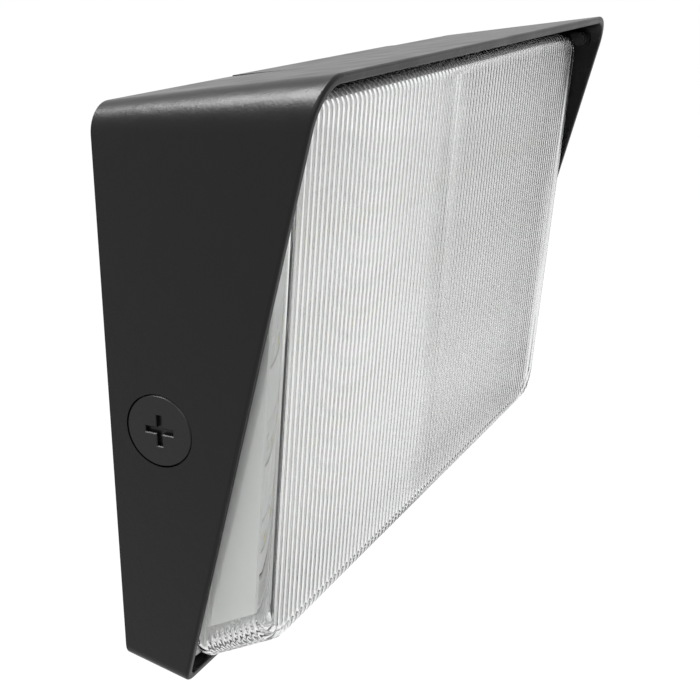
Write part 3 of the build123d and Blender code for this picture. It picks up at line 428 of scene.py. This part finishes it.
def make_materials():
    brushed = (1.0, 14.0, 14.0)
    return {plain_name(material): material for material in (
        powder_coat("black_powder_coat", (0.003, 0.003, 0.0034), 0.36, 0.24),
        powder_coat("plug_coat", (0.0045, 0.0045, 0.005), 0.34, 0.3),
        powder_coat("white_powder_coat", (0.8, 0.8, 0.79), 0.42, 0.5),
        clear_plastic("clear_polycarbonate"),
        moulded("white_reflector", (0.88, 0.88, 0.87), 0.3),
        moulded("silicone_bead", (0.72, 0.73, 0.72), 0.35, Coat_Weight=0.3),
        moulded("gasket_rubber", (0.035, 0.035, 0.037), 0.62, 500.0, 0.00004),
        foam("foam_rubber", (0.05, 0.05, 0.053)),
        plated_metal("stainless_steel", (0.62, 0.61, 0.59), 0.28),
        powder_coat("black_oxide_steel", (0.008, 0.008, 0.009), 0.42, 0.4),
        plated_metal("zinc_steel", (0.66, 0.68, 0.71), 0.36),
        plated_metal("tray_aluminium", (0.8, 0.8, 0.81), 0.38, brushed, 90.0),
        plated_metal("driver_aluminium", (0.76, 0.76, 0.77), 0.42, brushed, 90.0),
        moulded("white_solder_mask", (0.84, 0.85, 0.83), 0.28),
        moulded("led_phosphor", (0.9, 0.8, 0.45), 0.4, Coat_Weight=0.6),
        moulded("white_ribbon", (0.8, 0.8, 0.78), 0.45),
        moulded("white_nylon", (0.78, 0.77, 0.73), 0.42),
        moulded("potting_compound", (0.02, 0.02, 0.021), 0.22, 60.0, 0.0002),
        moulded("terminal_plastic", (0.74, 0.73, 0.68), 0.4),
        plated_metal("brass_screws", (0.78, 0.56, 0.24), 0.3),
        plated_metal("green_screw", (0.1, 0.42, 0.16), 0.32),
        plated_metal("tinned_copper", (0.76, 0.75, 0.72), 0.3),
        moulded("black_lead", (0.012, 0.012, 0.012), 0.38),
        moulded("white_lead", (0.78, 0.78, 0.76), 0.38),
        moulded("green_lead", (0.02, 0.22, 0.05), 0.38),
        moulded("red_lead", (0.5, 0.015, 0.012), 0.38),
        moulded("blue_lead", (0.015, 0.05, 0.4), 0.38),
    )}


def dress_nodes(made):
    """Each CAD piece's material slot is given the material of the same name."""
    for node in nodes.values():
        for slot in node.material_slots:
            slot.material = made[plain_name(slot.material)]


# ---------------------------------------------------------------- stage, lamps and camera

def background_ray(tree):
    """1 for rays that should see the plain white background, 0 for the rest."""
    path = tree.nodes.new("ShaderNodeLightPath")
    total = path.outputs["Is Camera Ray"]
    for kind in ("Is Glossy Ray", "Is Transmission Ray"):
        add = tree.nodes.new("ShaderNodeMath")
        add.operation = "MAXIMUM"
        tree.links.new(total, add.inputs[0])
        tree.links.new(path.outputs[kind], add.inputs[1])
        total = add.outputs["Value"]
    return total


def mix_by_ray(tree, lit, plain, output):
    mix = tree.nodes.new("ShaderNodeMixShader")
    tree.links.new(background_ray(tree), mix.inputs["Fac"])
    tree.links.new(lit, mix.inputs[1])
    tree.links.new(plain, mix.inputs[2])
    tree.links.new(mix.outputs["Shader"], output)


def build_world(strength):
    world = bpy.data.worlds.new("studio")
    world.use_nodes = True
    tree = world.node_tree
    lit = tree.nodes["Background"]
    lit.inputs["Color"].default_value = (1.0, 1.0, 1.0, 1.0)
    lit.inputs["Strength"].default_value = strength
    plain = tree.nodes.new("ShaderNodeBackground")
    plain.inputs["Color"].default_value = (1.0, 1.0, 1.0, 1.0)
    plain.inputs["Strength"].default_value = 1.0
    mix_by_ray(
        tree, lit.outputs["Background"], plain.outputs["Background"],
        tree.nodes["World Output"].inputs["Surface"],
    )
    bpy.context.scene.world = world


def build_floor(height, size, glow):
    """A pale floor under the lamp. Part of its white is its own glow, so shadows stay faint."""
    mesh = bpy.data.meshes.new("floor")
    mesh.from_pydata(
        [(size * i, size * j, height) for i, j in ((-1, -1), (1, -1), (1, 1), (-1, 1))],
        [], [(0, 1, 2, 3)],
    )
    floor = bpy.data.objects.new("floor", mesh)
    bpy.context.scene.collection.objects.link(floor)
    material = bpy.data.materials.new("floor")
    material.use_nodes = True
    tree = material.node_tree
    tree.nodes.remove(tree.nodes["Principled BSDF"])
    diffuse = tree.nodes.new("ShaderNodeBsdfDiffuse")
    diffuse.inputs["Color"].default_value = (0.85, 0.85, 0.85, 1.0)
    emission = tree.nodes.new("ShaderNodeEmission")
    emission.inputs["Strength"].default_value = 1.04
    shown = tree.nodes.new("ShaderNodeMixShader")
    shown.inputs["Fac"].default_value = glow
    tree.links.new(diffuse.outputs["BSDF"], shown.inputs[1])
    tree.links.new(emission.outputs["Emission"], shown.inputs[2])
    mix_by_ray(
        tree, diffuse.outputs["BSDF"], shown.outputs["Shader"],
        tree.nodes["Material Output"].inputs["Surface"],
    )
    floor.data.materials.append(material)


def add_lamp(name, place, size, power, target):
    """A square soft lamp, placed and aimed in metres."""
    lamp = bpy.data.lights.new(name, "AREA")
    lamp.size = size
    lamp.energy = power
    obj = bpy.data.objects.new(name, lamp)
    obj.location = place
    obj.rotation_euler = (Vector(target) - Vector(place)).to_track_quat("-Z", "Y").to_euler()
    bpy.context.scene.collection.objects.link(obj)


def build_camera():
    """The photograph's camera, solved from the outline of the housing and the lens."""
    camera = bpy.data.cameras.new("photo_camera")
    camera.sensor_width = 36.0
    camera.lens = 62.31
    camera.clip_start = 0.01
    camera.clip_end = 50.0
    obj = bpy.data.objects.new("photo_camera", camera)
    obj.location = (-0.43664, -0.23067, 0.14278)
    heading, drop = math.radians(63.608), math.radians(19.0)
    forward = Vector((
        math.sin(heading) * math.cos(drop), math.cos(heading) * math.cos(drop), -math.sin(drop),
    ))
    obj.rotation_euler = forward.to_track_quat("-Z", "Y").to_euler()
    bpy.context.scene.collection.objects.link(obj)
    bpy.context.scene.camera = obj


def build_stage():
    """Pale floor and world, three soft lamps and the camera. The rear lamp makes the highlight
    along the housing's upper left rounding."""
    middle = (0, 0, 0)
    floor_drop = 0.35
    build_world(strength=0.2)
    build_floor(cad_box[0][2] - floor_drop, size=12.0, glow=0.96)
    add_lamp("key", (-1.5, -0.9, 1.0), size=1.0, power=9.0, target=middle)
    add_lamp("back_left", (-0.4, 0.62, 1.5), size=0.8, power=68.0, target=(0, 0, 0.1))
    add_lamp("fill", (1.4, -1.2, 0.5), size=1.2, power=0.8, target=middle)
    build_camera()
    view = bpy.context.scene.view_settings
    view.view_transform = "Standard"
    view.look = "None"
    view.exposure = 0.0
    view.gamma = 1.0


made_materials = make_materials()
dress_nodes(made_materials)
lens_piece = build_lens()
lens_piece.data.materials.append(made_materials["clear_polycarbonate"])
build_stage()
